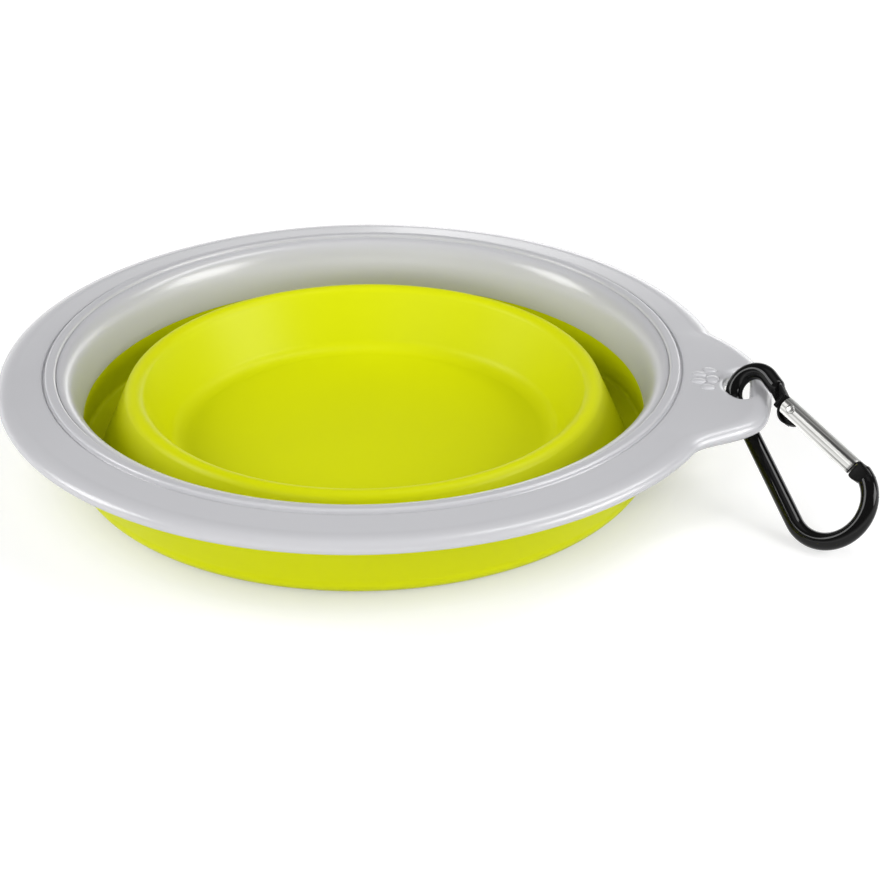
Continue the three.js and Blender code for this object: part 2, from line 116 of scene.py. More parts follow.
# one mesh object from surfaces in millimetres, with seams and poles merged and faces turned outwards
def meshPiece(name, surfaces, material, sharpAngle=35):
    points, faces, start = [], [], 0
    for part in surfaces:
        faces += surfaceFaces(part, start)
        points.append(part["grid"].reshape(-1, 3))
        start += len(points[-1])
    mesh = bpy.data.meshes.new(name)
    mesh.from_pydata((np.concatenate(points) * mm).tolist(), [], faces)
    closeMesh(mesh, sharpAngle)
    mesh.materials.append(material)
    piece = bpy.data.objects.new(name, mesh)
    bpy.context.scene.collection.objects.link(piece)
    return piece


def closeMesh(mesh, sharpAngle):
    work = bmesh.new()
    work.from_mesh(mesh)
    bmesh.ops.remove_doubles(work, verts=work.verts, dist=weldReach)
    bmesh.ops.recalc_face_normals(work, faces=work.faces)
    work.to_mesh(mesh)
    work.free()
    mesh.shade_smooth()
    mesh.set_sharp_from_angle(angle=np.radians(sharpAngle))


# the piece with its modifiers worked into its mesh
def settle(piece, sharpAngle=35):
    done = bpy.data.meshes.new_from_object(piece.evaluated_get(bpy.context.evaluated_depsgraph_get()))
    piece.modifiers.clear()
    piece.data = done
    closeMesh(done, sharpAngle)


def finishPiece(piece, body, node):
    if body:
        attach(piece, body)
    if node:
        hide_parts(node)
    print(f"{piece.name}: {len(piece.data.polygons)} faces")


# node groups: each effect is built once and placed with its own values
def effectGroup(name, inputs, outputs):
    group = bpy.data.node_groups.new(name, "ShaderNodeTree")
    group.interface.new_socket("Vector", in_out="INPUT", socket_type="NodeSocketVector")
    for label, value in inputs.items():
        group.interface.new_socket(label, in_out="INPUT", socket_type="NodeSocketFloat").default_value = value
    for label in outputs:
        group.interface.new_socket(label, in_out="OUTPUT", socket_type="NodeSocketFloat")
    return group, group.nodes.new("NodeGroupInput"), group.nodes.new("NodeGroupOutput")


def addNode(tree, kind, **settings):
    node = tree.nodes.new(kind)
    for label, value in settings.items():
        setattr(node, label, value)
    return node


# both ends of one side of a Map Range node
def setSpan(node, side, span):
    node.inputs[f"{side} Min"].default_value, node.inputs[f"{side} Max"].default_value = span


# moulded surface: fine grain as Height, slow cloudy change as Tone
def makeMouldedGrain():
    group, entry, result = effectGroup("mouldedGrain", {"Grain": 3000, "Clouds": 30}, ["Height", "Tone"])
    link = group.links.new
    for label, scaleName, detail in (("Height", "Grain", 2), ("Tone", "Clouds", 4)):
        noise = addNode(group, "ShaderNodeTexNoise")
        noise.inputs["Detail"].default_value = detail
        link(entry.outputs["Vector"], noise.inputs["Vector"])
        link(entry.outputs[scaleName], noise.inputs["Scale"])
        link(noise.outputs["Fac"], result.inputs[label])
    return group


# drawn metal: noise stretched along X as Lines, and its slower part as Bands
def makeDrawnLines():
    inputs = {"Along": 60, "Across": 5000, "Wide": 700}
    group, entry, result = effectGroup("drawnLines", inputs, ["Lines", "Bands"])
    link = group.links.new
    for label, scaleName in (("Lines", "Across"), ("Bands", "Wide")):
        stretch = addNode(group, "ShaderNodeCombineXYZ")
        link(entry.outputs["Along"], stretch.inputs["X"])
        link(entry.outputs[scaleName], stretch.inputs["Y"])
        link(entry.outputs[scaleName], stretch.inputs["Z"])
        scaled = addNode(group, "ShaderNodeVectorMath", operation="MULTIPLY")
        link(entry.outputs["Vector"], scaled.inputs[0])
        link(stretch.outputs["Vector"], scaled.inputs[1])
        noise = addNode(group, "ShaderNodeTexNoise")
        noise.inputs["Scale"].default_value = 1
        link(scaled.outputs["Vector"], noise.inputs["Vector"])
        link(noise.outputs["Fac"], result.inputs[label])
    return group


mouldedGrain = makeMouldedGrain()
drawnLines = makeDrawnLines()
noiseSpan = (0.3, 0.7)  # where most of a noise's values lie
colourA, colourB, colourOut = 6, 7, 2  # a Mix node's colour sockets, whose names its other types share


# a principled material with an effect group in it: the group's first output drives the bump,
# its second the tone and the roughness
def effectMaterial(name, group, values, look, turn=None):
    material = bpy.data.materials.new(name)
    material.use_nodes = True
    tree = material.node_tree
    link = tree.links.new
    shader = tree.nodes["Principled BSDF"]
    coordinates = addNode(tree, "ShaderNodeTexCoord")
    effect = addNode(tree, "ShaderNodeGroup", node_tree=group)
    for label, value in values.items():
        effect.inputs[label].default_value = value
    vector = coordinates.outputs["Object"]
    if turn:
        mapping = addNode(tree, "ShaderNodeMapping", vector_type="TEXTURE")
        mapping.inputs["Location"].default_value = turn[0]
        mapping.inputs["Rotation"].default_value = turn[1]
        link(vector, mapping.inputs["Vector"])
        vector = mapping.outputs["Vector"]
    link(vector, effect.inputs["Vector"])
    tone = addNode(tree, "ShaderNodeMix", data_type="RGBA")
    tone.inputs[colourA].default_value = (*look["dark"], 1)
    tone.inputs[colourB].default_value = (*look["light"], 1)
    spread = addNode(tree, "ShaderNodeMapRange")
    setSpan(spread, "From", look.get("spread", (0, 1)))
    link(effect.outputs[1], spread.inputs["Value"])
    link(spread.outputs["Result"], tone.inputs["Factor"])
    link(tone.outputs[colourOut], shader.inputs["Base Color"])
    gloss = addNode(tree, "ShaderNodeMapRange")
    setSpan(gloss, "From", noiseSpan)
    setSpan(gloss, "To", look["roughness"])
    link(effect.outputs[1], gloss.inputs["Value"])
    link(gloss.outputs["Result"], shader.inputs["Roughness"])
    bump = addNode(tree, "ShaderNodeBump")
    bump.inputs["Strength"].default_value = look["bump"]
    bump.inputs["Distance"].default_value = look["depth"] * mm
    link(effect.outputs[0], bump.inputs["Height"])
    link(bump.outputs["Normal"], shader.inputs["Normal"])
    shader.inputs["Metallic"].default_value = look.get("metallic", 0)
    shader.inputs["Specular IOR Level"].default_value = look.get("specular", 0.5)
    return material


# the gate's own frame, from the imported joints: along the gate, across it, and out of its cheek
joints = {joint["name"]: joint for joint in frame["joints"]}
gateAlong = np.array(joints["plunger_slide"]["axis"])
gateOut = -np.array(joints["gate_open"]["axis"])
gateAcross = np.cross(gateOut, gateAlong)
rivetPoint = np.array(joints["gate_open"]["pos_m"]) / mm
gateBasis = (rivetPoint, gateAlong, gateAcross, gateOut)
gateTurn = Matrix(np.stack([gateAlong, gateAcross, gateOut], axis=1).tolist()).to_euler()
gateFrame = (tuple(rivetPoint * mm), gateTurn)

rimPlastic = effectMaterial(
    "rimPlastic", mouldedGrain, {"Grain": 5200, "Clouds": 40},
    {"dark": (0.485, 0.485, 0.505), "light": (0.515, 0.515, 0.535), "roughness": (0.21, 0.27),
     "bump": 0.04, "depth": 0.02, "specular": 0.7},
)
softGreen = effectMaterial(
    "softGreen", mouldedGrain, {"Grain": 4200, "Clouds": 28},
    {"dark": (0.59, 0.63, 0.001), "light": (0.64, 0.68, 0.002), "roughness": (0.34, 0.42),
     "bump": 0.08, "depth": 0.03, "specular": 0.16},
)
blackGloss = effectMaterial(
    "blackGloss", mouldedGrain, {"Grain": 900, "Clouds": 160},
    {"dark": (0.003, 0.003, 0.003), "light": (0.004, 0.004, 0.004), "roughness": (0.05, 0.09),
     "bump": 0.03, "depth": 0.02, "specular": 0.22},
)
blackSatin = effectMaterial(
    "blackSatin", mouldedGrain, {"Grain": 900, "Clouds": 160},
    {"dark": (0.003, 0.003, 0.003), "light": (0.004, 0.004, 0.004), "roughness": (0.38, 0.46),
     "bump": 0.03, "depth": 0.02, "specular": 0.08},
)
gateMetal = effectMaterial(
    "gateMetal", drawnLines, {"Along": 20, "Across": 7000, "Wide": 1800},
    {"dark": (0.12, 0.12, 0.115), "light": (0.50, 0.50, 0.485), "spread": (0.36, 0.58),
     "roughness": (0.34, 0.42), "bump": 0.10, "depth": 0.01, "metallic": 1},
    gateFrame,
)
pinSteel = effectMaterial(
    "pinSteel", drawnLines, {"Along": 4000, "Across": 900, "Wide": 1200},
    {"dark": (0.58, 0.58, 0.56), "light": (0.70, 0.70, 0.68), "roughness": (0.22, 0.36),
     "bump": 0.08, "depth": 0.01, "metallic": 1},
    gateFrame,
)
print("materials ready")


# rim: hard flange with a bead, an inner skirt and the carrying tab
rim = {
    "radius": 64.5, "top": 17.5, "fall": 0.5, "thickness": 2.8, "edgeWidth": 3.2, "edgeDrop": 1.9, "edgeStart": 84,
    "edgeLift": 0.5, "lowerRound": 0.8, "groove": 56.5, "grooveHalf": 0.3, "groovePull": 0.64,
    "grooveEnd": (0.05, 0.04), "shoulder": (0.3, 0.02), "beadInner": 54.3, "beadHeight": 0.55,
    "beadRound": (0.55, 0.5), "notch": 0.12, "skirtFoot": (50.2, 8.6), "skirtDraft": 0.2, "skirtThickness": 1.2,
    "skirtFlare": 3.3, "angles": 480, "crowding": 0.8,
}
tab = {
    "reach": 7.9, "turn": -1.5, "flatAngle": 5, "spanAngle": 20, "flank": 1.45,
    "backSpan": 20.4, "backFlank": 1.8, "soften": 0.05, "web": 4, "holeDepth": 4.5, "holeWidth": 11.8,
    "holeCorner": 1.6, "holeRound": 1.2, "flareAngle": 70, "cutPast": 0.3,
}
flangeTop = rim["top"] - rim["fall"]
flangeUnder = flangeTop - rim["thickness"]
flangeFlat = rim["radius"] - rim["edgeWidth"]
flangeStart = rim["groove"] + rim["grooveHalf"]


# flat-topped bead: a thin notch at its foot, two rounded corners, and the groove outside it
def beadRun():
    low, high = rim["top"], rim["top"] + rim["beadHeight"]
    inner, outer = rim["beadInner"], rim["groove"] - rim["grooveHalf"]
    notch = rim["notch"]
    foot = np.array([(inner - notch, low), (inner - notch / 2, low - notch), (inner, low)])
    small, large = rim["beadRound"]
    innerCorner = arcPoints((inner + small, high - small), (small, small), 180, 90, 8)
    outerCorner = arcPoints((outer - large, high - large), (large, large), 90, 0, 8)
    flatTop = runPoints(innerCorner[-1], outerCorner[0], 5)
    bottom = (rim["groove"], low - rim["groovePull"])
    grooveEnd = (flangeStart - rim["grooveEnd"][0], low - rim["grooveEnd"][1])
    groove = bendPoints((outer, low), bottom, grooveEnd, 9)
    shoulderEnd = (flangeStart + rim["shoulder"][0], low - rim["shoulder"][1])
    shoulder = bendPoints(groove[-1], (flangeStart, low), shoulderEnd, 5)
    return joinRuns(foot, innerCorner, flatTop, outerCorner, groove, shoulder)


# skirt rolling over to the bead, bead, flange, rounded edge and underside as one closed line
def rimProfile():
    bead = beadRun()
    skirtFoot = np.array(rim["skirtFoot"])
    bend = (skirtFoot[0] + rim["skirtDraft"], rim["top"] - rim["skirtDraft"])
    skirt = bendPoints(skirtFoot, bend, bead[0], 34)
    flange = runPoints(bead[-1], (flangeFlat, flangeTop), 14)
    edgeCentre = (flangeFlat, flangeTop - rim["edgeDrop"])
    edge = arcPoints(edgeCentre, (rim["edgeWidth"], rim["edgeDrop"]), rim["edgeStart"], 0, 20)
    lower = (rim["radius"] - rim["lowerRound"], flangeUnder + rim["lowerRound"])
    under = arcPoints(lower, (rim["lowerRound"], rim["lowerRound"]), 0, -90, 8)
    back = runPoints((flangeFlat, flangeUnder), (skirtFoot[0] + rim["skirtFlare"], flangeUnder), 12)
    skirtBack = runPoints(back[-1], skirtFoot + np.array([rim["skirtThickness"], 0]), 6)
    return joinRuns(skirt, bead, flange, edge, under, back, skirtBack)


# share of the tab's reach at an angle, falling from 1 to 0 at its span: the front has a flat and an eased flank,
# the back a rounder flank whose foot is softened by (f + sqrt(f^2 + e^2)) / 2
def tabShare(angle):
    off = np.degrees(angle) - tab["turn"]
    eased = np.clip((-off - tab["flatAngle"]) / (tab["spanAngle"] - tab["flatAngle"]), 0, 1)
    front = 1 - (eased**2 * (3 - 2 * eased)) ** tab["flank"]
    fall = 1 - np.clip(off / tab["backSpan"], 0, None) ** tab["backFlank"]
    back = (fall + np.hypot(fall, tab["soften"])) / (1 + np.hypot(1, tab["soften"]))
    return np.where(off > 0, back, front)


# the turned rim, its flange drawn out towards the tab: r + reach * share(angle) * (how far along the flange);
# away from the tab its lower edge is lifted in the same way
def rimGrid():
    turn = np.linspace(-np.pi, np.pi, rim["angles"], endpoint=False)
    angle = turn - rim["crowding"] * np.sin(turn)
    profile = rimProfile()
    share = tabShare(angle)[:, None]
    onFlange = np.clip((profile[:, 0] - flangeStart) / (flangeFlat - flangeStart), 0, 1)
    below = np.clip((flangeTop - profile[:, 1]) / rim["thickness"], 0, 1)
    radius = profile[:, 0] + tab["reach"] * share * onFlange
    height = profile[:, 1] + rim["edgeLift"] * (1 - share) * onFlange * below
    return np.stack([radius * np.cos(angle)[:, None], radius * np.sin(angle)[:, None], height], axis=2)


# height of the tab's top at a way from the bowl's axis
def tabTopAt(along):
    return rim["top"] - rim["fall"] * (along - flangeStart) / (flangeFlat + tab["reach"] - flangeStart)


# half-oval: flat along the web, two small corners, round towards the bowl
def holeOutline():
    flat = rim["radius"] + tab["reach"] - tab["web"]
    half, corner = tab["holeWidth"] / 2, tab["holeCorner"]
    lean = np.arcsin(corner / tab["holeDepth"])
    across = half * np.cos(lean)
    upper = bendPoints((flat, across - corner), (flat, across), (flat - corner, across), 10)
    start = 90 + np.degrees(lean)
    oval = arcPoints((flat, 0), (tab["holeDepth"], half), start, 360 - start, 60)
    straight = runPoints((flat, corner - across), (flat, across - corner), 24)
    return joinRuns(upper, oval, (upper * [1, -1])[::-1], straight[:-1])


# outline moved out along its own normals
def growOutline(outline, grow):
    along = np.roll(outline, -1, axis=0) - np.roll(outline, 1, axis=0)
    along /= np.linalg.norm(along, axis=1)[:, None]
    return outline + grow * np.stack([along[:, 1], -along[:, 0]], axis=1)


# cutter that flares as a quarter round at both faces: depth R(1 - sin a), growth R(1 - cos a)
def holeCutter():
    outline = holeOutline()
    turn = np.radians(np.linspace(tab["flareAngle"], 0, 9))
    depth = tab["holeRound"] * (1 - np.sin(turn))
    grow = tab["holeRound"] * (1 - np.cos(turn))
    past = grow[0] + (depth[0] + tab["cutPast"]) * np.tan(turn[0])
    depth, grow = np.append(-tab["cutPast"], depth), np.append(past, grow)
    top = tabTopAt(outline[:, 0])
    under = np.full(len(top), flangeUnder)
    lower = [np.column_stack([growOutline(outline, g), under + d]) for d, g in zip(depth, grow)]
    upper = [np.column_stack([growOutline(outline, g), top - d]) for d, g in zip(depth[::-1], grow[::-1])]
    return surface(np.array(lower + upper), closedRows=False, capped=True)


rimShell = meshPiece("rimShell", [surface(rimGrid())], rimPlastic)
cutter = meshPiece("holeCutter", [holeCutter()], rimPlastic)
hole = rimShell.modifiers.new("hole", "BOOLEAN")
hole.operation, hole.solver, hole.object = "DIFFERENCE", "EXACT", cutter
settle(rimShell)
bpy.data.objects.remove(cutter)
finishPiece(rimShell, "rim", "rim_frame")

# raised paw: a pad and four toes, each a low lens half sunk into the tab, as (along, across, length, width, lean)
paw = {
    "height": 0.42, "around": 48, "up": 25, "pad": (61.8, 0, 2.4, 3.0, 0),
    "toes": [
        (59.5, 1.3, 2.6, 1.9, -6), (59.5, -1.3, 2.6, 1.9, 6),
        (61.2, 3.3, 2.6, 1.9, -6), (61.2, -3.3, 2.6, 1.9, 6),
    ],
}


# ellipsoid: (l/2 cos b cos a, w/2 cos b sin a, h sin b), turned in the plane
def lens(along, across, length, width, lean):
    around, up = evenAngles(paw["around"]), np.radians(np.linspace(-90, 90, paw["up"]))
    x = length / 2 * np.cos(around)[:, None] * np.cos(up)
    y = width / 2 * np.sin(around)[:, None] * np.cos(up)
    z = np.broadcast_to(paw["height"] * np.sin(up), x.shape) + tabTopAt(along)
    c, s = np.cos(np.radians(lean)), np.sin(np.radians(lean))
    return surface(np.stack([along + c * x - s * y, across + s * x + c * y, z], axis=2), closedColumns=False)


pawRelief = meshPiece("pawRelief", [lens(*oval) for oval in [paw["pad"], *paw["toes"]]], rimPlastic)
finishPiece(pawRelief, "rim", None)

# soft body: outer wall over the skirt, folding wall, and bowl with its rounded lip
outer = {
    "thickness": 1.2, "gap": 0.3, "seam": 0.06, "footRadius": 52.5, "footRound": 1.9, "footStart": 11, "ground": 0.05,
    "channel": 1.2, "channelRound": 0.8, "innerFoot": 51.1, "tuck": 47.3, "angles": 320,
}
fold = {
    "foot": (47.6, 1.2), "lean": 24.6, "thickness": 1.4, "tuck": 0.4, "sink": 0.02, "steps": 40, "angles": 320,
}
bowl = {
    "lipHeight": 12.9, "lipRound": 1.95, "lipStub": 1.0, "lipUnder": 0.9, "wall": 1.8, "floor": 2.0, "run": 9.3,
    "filletRun": 3.4, "filletRise": 1.6, "filletTurn": 0.67, "angles": 320,
}


# outside wall, rounded foot, channel floor, inside wall up to the skirt and the step behind it
def outerProfile():
    top = flangeUnder - outer["seam"]
    skirtRadius, skirtHeight = rim["skirtFoot"]
    back = skirtRadius + rim["skirtFlare"] + outer["gap"]
    step = skirtHeight - outer["seam"]
    stepBack = skirtRadius + rim["skirtThickness"] + outer["gap"]
    footCentre = (outer["footRadius"] - outer["footRound"], outer["ground"] + outer["footRound"])
    foot = arcPoints(footCentre, (outer["footRound"], outer["footRound"]), outer["footStart"], -90, 18)
    face = runPoints((back + outer["thickness"], top), foot[0], 24)
    level, inside, rounded = outer["channel"], outer["innerFoot"], outer["channelRound"]
    end = [(outer["tuck"], outer["ground"]), (outer["tuck"], level)]
    corner = bendPoints((inside - rounded, level), (inside, level), (inside, level + rounded), 9)
    inner = runPoints(corner[-1], (skirtRadius, step), 18)
    return joinRuns(face, foot, end, corner, inner, runPoints((stepBack, step), (back, top), 6))


# the fold's outer face leans in from the crease and the lip's round just touches it: with the lean's cosine c and
# sine s, the lip's radius is foot - (round + rise * s) / c
foldOut = np.array([np.cos(np.radians(fold["lean"])), np.sin(np.radians(fold["lean"]))])
foldDown = np.array([foldOut[1], -foldOut[0]])
lipLevel = bowl["lipHeight"] - bowl["lipRound"]
lipRise = lipLevel - fold["foot"][1]
lipCentre = np.array([fold["foot"][0] - (bowl["lipRound"] + lipRise * foldOut[1]) / foldOut[0], lipLevel])


# point on the fold's outer face at a way below the lip, or behind it
def foldFace(down, depth):
    return lipCentre + foldOut * (bowl["lipRound"] - depth) + foldDown * down


# cone from under the lip to the channel's floor, of even thickness
def foldProfile():
    head = foldFace(bowl["lipStub"] - fold["tuck"], fold["sink"])
    back = foldFace(bowl["lipStub"] - fold["tuck"], fold["thickness"])
    foot = np.array(fold["foot"]) + foldDown * fold["tuck"]
    footBack = foot - foldOut * fold["thickness"]
    return joinRuns(runPoints(head, foot, fold["steps"]), runPoints(footBack, back, fold["steps"]))


# underside, outside of the wall, stub and lip, inside of the wall, fillet and floor, from axis to axis
def bowlProfile():
    radius, floorRadius = bowl["lipRound"], lipCentre[0] - bowl["run"]
    foot = np.array([floorRadius + bowl["filletRun"], bowl["floor"] + bowl["filletRise"]])
    toLip = lipCentre - foot
    lean = np.arctan2(toLip[1], toLip[0]) + np.arcsin(radius / np.hypot(*toLip))
    up = np.array([np.cos(lean), np.sin(lean)])
    base = foot + bowl["wall"] * np.array([up[1], -up[0]])
    wallTop = base + up * (lipLevel - bowl["lipUnder"] - base[1]) / up[1]
    turn = floorRadius + bowl["filletRun"] * bowl["filletTurn"]
    under = bendPoints((floorRadius + bowl["wall"], 0), (turn + bowl["wall"], 0), base, 12)
    stub = np.array([foldFace(bowl["lipStub"], fold["thickness"]), foldFace(bowl["lipStub"], 0)])
    lip = arcPoints(lipCentre, (radius, radius), fold["lean"], 90 + np.degrees(lean), 40)
    fillet = bendPoints(foot, (turn, bowl["floor"]), (floorRadius, bowl["floor"]), 20)
    return joinRuns(
        runPoints((0, 0), under[0], 16), under, runPoints(base, wallTop, 10), stub, lip,
        runPoints(lip[-1], foot, 20), fillet, runPoints(fillet[-1], (0, bowl["floor"]), 16),
    )


outerSkin = meshPiece("outerSkin", [surface(turnProfile(outerProfile(), evenAngles(outer["angles"])))], softGreen)
finishPiece(outerSkin, "rim", "outer_wall")

foldSkin = meshPiece("foldSkin", [surface(turnProfile(foldProfile(), evenAngles(fold["angles"])))], softGreen)
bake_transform(foldSkin)
finishPiece(foldSkin, None, "folding_wall")

bowlGrid = turnProfile(bowlProfile(), evenAngles(bowl["angles"]))
bowlSkin = meshPiece("bowlSkin", [surface(bowlGrid, closedColumns=False)], softGreen)
finishPiece(bowlSkin, "base", "inner_bowl")

# carabiner: glossy bent rod and its satin flats, which are the neck, the collar, the tang with its heel and guard,
# and the nose; a rounding is (corner in the outline, edge along it)
rod = {
    "radius": 1.5, "hookRadius": 3.72, "hookCentre": (0.02, -0.22), "loopCentre": (25.45, 2.95), "loopRadius": 7.1,
    "tail": 2.2, "tailAngle": 8, "noseArcEnd": 98, "sides": 40, "rivet": (7.9, 4.52), "nosePoint": (25.45, 10.05),
}
gate = {
    "width": 2.9, "depth": 3.2, "sheet": 0.5, "tail": 1.95, "bend": 1.28, "noseDepth": 2.05, "gap": 0.3,
    "stopFromEnd": 3.0, "stopLength": 0.6, "stopRound": (0.1, 0.05), "swing": 30, "softEdge": 0.07,
    "tailSteps": 14, "alongSteps": 29, "roundSteps": 12,
}
tang = {
    "thickness": 1.6, "neckWidth": 2.4, "neckDepth": 2.4, "collarLength": 1.1, "heelReach": 2.5, "heelFace": 1.9,
    "heelFrom": -150, "heelTo": -52, "neckTuck": 0.4, "noseWidth": 3.3, "noseLip": 0.1, "noseRun": 1.1, "noseDrop": 0.5,
    "guardInside": 2.1, "guardOutside": 2.6, "guardFrom": -158, "guardTo": -84, "guardDepth": 3.0,
    "tangRound": (0.2, 0.25), "guardRound": (0.1, 0.12), "neckRound": (0.3, 0.7), "collarRound": (0.35, 0.4),
    "noseRound": (0.5, 0.4),
}
gateReach = np.array(rod["nosePoint"]) - np.array(rod["rivet"])
gateAngle = np.arctan2(gateReach[1], gateReach[0])
noseFace = np.hypot(*gateReach) - gate["noseDepth"]
gateEnd = noseFace - gate["gap"]
rodAlong = np.cos(gateAngle) * gateAlong - np.sin(gateAngle) * gateAcross
rodAcross = np.sin(gateAngle) * gateAlong + np.cos(gateAngle) * gateAcross
hookPoint = rivetPoint - rod["rivet"][0] * rodAlong - rod["rivet"][1] * rodAcross
rodBasis = (hookPoint, rodAlong, rodAcross, gateOut)


# centre line: tail, hook arc, straight leg on both arcs' tangent, wide arc up to the nose
def rodLine():
    centre, hook, loop = np.array(rod["loopCentre"]), rod["hookRadius"], rod["loopRadius"]
    apart = centre - rod["hookCentre"]
    spread = np.arccos((hook - loop) / np.hypot(*apart))
    tangent = np.degrees(np.arctan2(apart[1], apart[0]) - spread)
    start = 90 + rod["tailAngle"]
    arc = arcPoints(rod["hookCentre"], (hook, hook), start, tangent + 360, 70)
    loopArc = arcPoints(centre, (loop, loop), tangent, rod["noseArcEnd"], 90)
    lead = np.radians(start)
    tailEnd = arc[0] + rod["tail"] * np.array([np.sin(lead), -np.cos(lead)])
    return joinRuns(runPoints(tailEnd, arc[0], 8), arc, runPoints(arc[-1], loopArc[0], 30), loopArc)


# round section carried along a flat line: centre + radius (cos a * side + sin a * up)
def rodTube():
    line = rodLine()
    along = np.gradient(line, axis=0)
    along /= np.linalg.norm(along, axis=1)[:, None]
    side = np.stack([-along[:, 1], along[:, 0]], axis=1)
    angle = evenAngles(rod["sides"])
    flat = line[:, None, :] + rod["radius"] * np.cos(angle)[None, :, None] * side[:, None, :]
    height = np.broadcast_to(rod["radius"] * np.sin(angle), flat.shape[:2])
    return line, np.concatenate([flat, height[..., None]], axis=2)


# outline with every corner rounded: each corner becomes a bend between points a set way along its two edges,
# or at most a share of them
def roundedOutline(corners, radius, steps=7, mostShare=0.45):
    corners = np.array(corners, float)
    before, after = np.roll(corners, 1, axis=0) - corners, np.roll(corners, -1, axis=0) - corners
    lengthBefore = np.linalg.norm(before, axis=1)[:, None]
    lengthAfter = np.linalg.norm(after, axis=1)[:, None]
    start = corners + before / lengthBefore * np.minimum(radius, lengthBefore * mostShare)
    end = corners + after / lengthAfter * np.minimum(radius, lengthAfter * mostShare)
    t = np.linspace(0, 1, steps)[None, :, None]
    bends = (1 - t) ** 2 * start[:, None] + 2 * t * (1 - t) * corners[:, None] + t**2 * end[:, None]
    return bends.reshape(-1, 2)


# outline thickened to both sides with quarter-round edges: inset e(1 - cos a), height e sin a
# from the edge's start
def roundedPlate(outline, thickness, edge, steps=6):
    turn = np.radians(np.linspace(0, 90, steps))
    inset = np.concatenate([(edge * (1 - np.cos(turn)))[::-1], edge * (1 - np.cos(turn))])
    rise = thickness / 2 - edge + edge * np.sin(turn)
    height = np.concatenate([-rise[::-1], rise])
    rings = [np.column_stack([growOutline(outline, -i), np.full(len(outline), h)]) for i, h in zip(inset, height)]
    return np.array(rings)


# tang outline: back, relieved face for the plunger, and the heel's round bulge
def tangOutline():
    back = gate["width"] / 2 - gate["sheet"] - gate["gap"]
    swing = np.radians(gate["swing"])
    relief = (back - tang["heelFace"] * np.sin(swing)) / np.cos(swing)
    collar = -gate["tail"] - gate["gap"] - tang["collarLength"] / 2
    reach = tang["heelReach"]
    heelTop = reach * np.sin(np.radians(tang["heelTo"])) + gate["gap"]
    heel = arcPoints((0, 0), (reach, reach), tang["heelTo"], tang["heelFrom"], 22)
    corners = np.concatenate([
        [(collar, back), (0, back), (tang["heelFace"], relief), (tang["heelFace"], heelTop)], heel,
        [(collar, -tang["neckWidth"] / 2)],
    ])
    return roundedOutline(corners[::-1], tang["tangRound"][0], 5)


# guard round the gate's tail, outside the cheeks' sweep, from the collar to the heel
def guardOutline():
    inside, outside = tang["guardInside"], tang["guardOutside"]
    out = arcPoints((0, 0), (outside, outside), tang["guardFrom"], tang["guardTo"], 20)
    back = arcPoints((0, 0), (inside, inside), tang["guardTo"], tang["guardFrom"], 20)
    return roundedOutline(np.concatenate([out, back]), tang["guardRound"][0], 4)


# the rod, with a ball that rounds the end of its tail
def rodSurfaces():
    line, tube = rodTube()
    halfRound = arcPoints((0, 0), (rod["radius"], rod["radius"]), -90, 90, 21)
    ball = turnProfile(halfRound, evenAngles(rod["sides"])) + np.append(line[0], 0)
    return [
        surface(place(tube, rodBasis), closedRows=False, capped=True),
        surface(place(ball, rodBasis), closedColumns=False),
    ]


# tang, guard, neck, collar and nose, in the gate's own frame
def flatSurfaces():
    toGate = np.array([[np.cos(gateAngle), np.sin(gateAngle)], [-np.sin(gateAngle), np.cos(gateAngle)]])
    tailAlong, tailAcross = toGate @ (rodLine()[0] - np.array(rod["rivet"]))
    collarEnd = -gate["tail"] - gate["gap"]
    collarStart = collarEnd - tang["collarLength"]
    half, neckEnd = tang["neckWidth"] / 2, collarEnd - tang["neckTuck"]
    neck = [(tailAlong, tailAcross - half), (neckEnd, -half), (neckEnd, half), (tailAlong, tailAcross + half)]
    width = gate["width"] / 2
    collar = [(collarStart, -width), (collarEnd, -width), (collarEnd, width), (collarStart, width - gate["gap"])]
    outerSide, innerSide = tang["noseWidth"] / 2 - tang["noseLip"], -tang["noseWidth"] / 2 - tang["noseLip"]
    noseEnd = noseFace + gate["noseDepth"]
    nose = [
        (noseFace, innerSide + tang["noseLip"]), (noseFace + gate["noseDepth"] / 2, innerSide),
        (noseEnd + tang["noseRun"] / 2, innerSide + rod["radius"] / 3),
        (noseEnd + tang["noseRun"], outerSide - tang["noseDrop"]), (noseFace, outerSide),
    ]
    plates = [
        roundedPlate(tangOutline(), tang["thickness"], tang["tangRound"][1]),
        roundedPlate(guardOutline(), tang["guardDepth"], tang["guardRound"][1]),
    ]
    bars = [
        (neck, tang["neckDepth"], "neckRound"),
        (collar, gate["depth"], "collarRound"),
        (nose, gate["depth"], "noseRound"),
    ]
    for corners, depth, rounding in bars:
        corner, edge = tang[rounding]
        plates.append(roundedPlate(roundedOutline(corners, corner), depth, edge))
    return [surface(place(plate, gateBasis), closedRows=False, capped=True) for plate in plates]


carabinerRod = meshPiece("carabinerRod", rodSurfaces(), blackGloss)
finishPiece(carabinerRod, "carabiner", "carabiner_body")
carabinerFlats = meshPiece("carabinerFlats", flatSurfaces(), blackSatin)
finishPiece(carabinerFlats, "carabiner", None)


